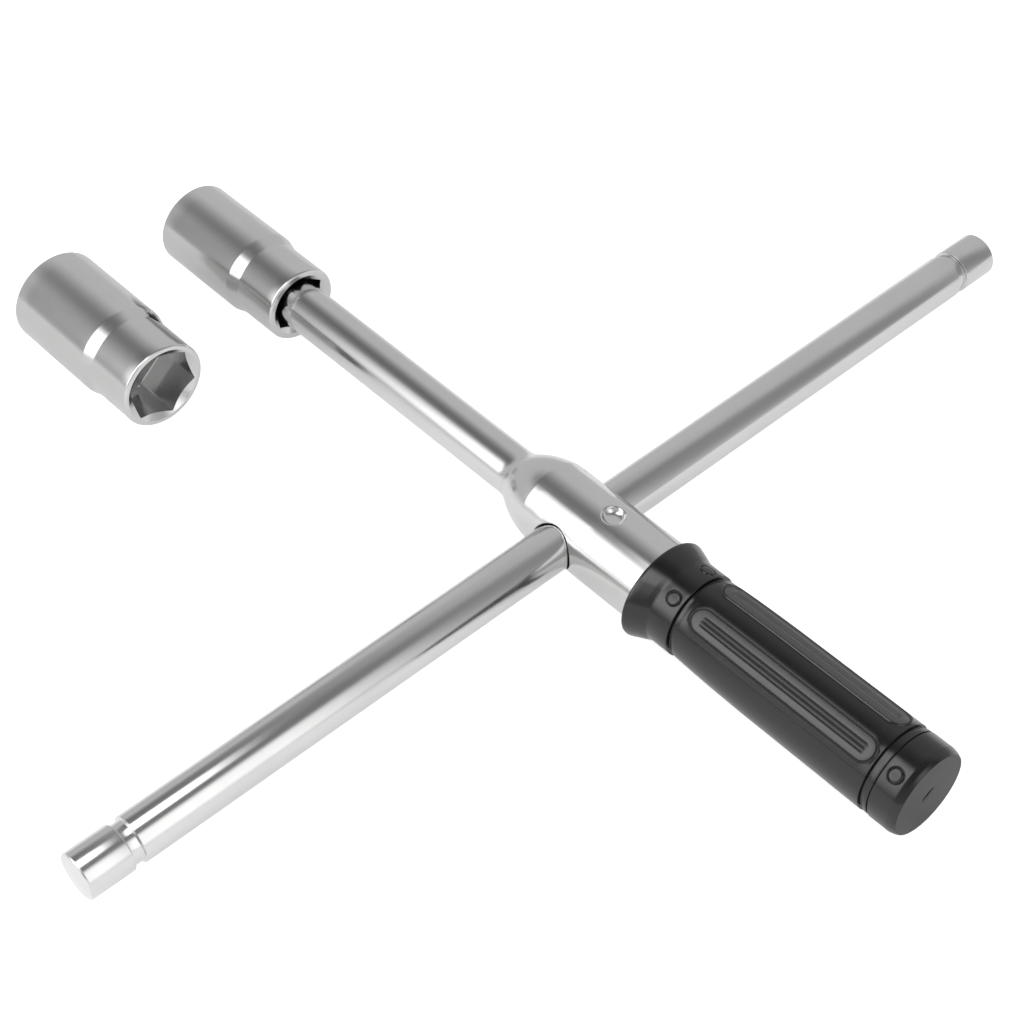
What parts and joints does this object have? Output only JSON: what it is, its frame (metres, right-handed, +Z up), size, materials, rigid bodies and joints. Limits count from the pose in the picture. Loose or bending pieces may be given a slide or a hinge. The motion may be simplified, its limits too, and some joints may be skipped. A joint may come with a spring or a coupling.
{
  "type": "lug wrench",
  "caption": "Cross lug wrench: a round shaft with a moulded grip, a cross bar that slides through its hub, and loose double-ended hex sockets.",
  "frame": {"origin": "middle of the base of the whole set as it lies, on the floor plane", "axes": "+X along the shaft towards the grip, +Y along the cross bar, +Z up"},
  "size_m": [0.3116, 0.35, 0.032],
  "materials": {
    "shaft_steel": "satin chrome plate",
    "socket_steel": "satin chrome plate",
    "inner_steel": "plain turned steel",
    "grip_rubber": "smooth moulded black rubber"
  },
  "bodies": {
    "wrench": {"drive_rod": "shaft_steel", "hub": "shaft_steel", "handle_tube": "inner_steel", "grip": "grip_rubber", "detent_seat": "inner_steel", "detent_spring": "inner_steel", "drive_spring": "inner_steel"},
    "bar": {"cross_bar": "shaft_steel"},
    "bar_ball": {"detent_ball": "inner_steel"},
    "socket_ball": {"drive_ball": "inner_steel"},
    "socket_on_drive": {"mounted_socket": "socket_steel"},
    "loose_socket": {"spare_socket": "socket_steel"}
  },
  "joints": [
    {"name": "bar_slide", "type": "slide", "parent": "wrench", "child": "bar", "axis": [0, 1, 0], "range_m": [-0.16, 0.16]},
    {"name": "socket_pull", "type": "slide", "parent": "wrench", "child": "socket_on_drive", "axis": [-1, 0, 0], "range_m": [0, 0.03]},
    {"name": "spare_socket_lift", "type": "slide", "parent": "wrench", "child": "loose_socket", "axis": [0, 0, 1], "range_m": [0, 0.06]},
    {"name": "bar_ball_press", "type": "slide", "parent": "wrench", "child": "bar_ball", "axis": [-1, 0, 0], "range_m": [0, 0.0008], "stiffness_N_per_m": 1000, "springref_m": 0.0008, "deforming": ["detent_spring"]},
    {"name": "socket_ball_press", "type": "slide", "parent": "wrench", "child": "socket_ball", "axis": [0, 0, -1], "range_m": [0, 0.0009], "stiffness_N_per_m": 1000, "springref_m": 0.0009, "deforming": ["drive_spring"]}
  ]
}
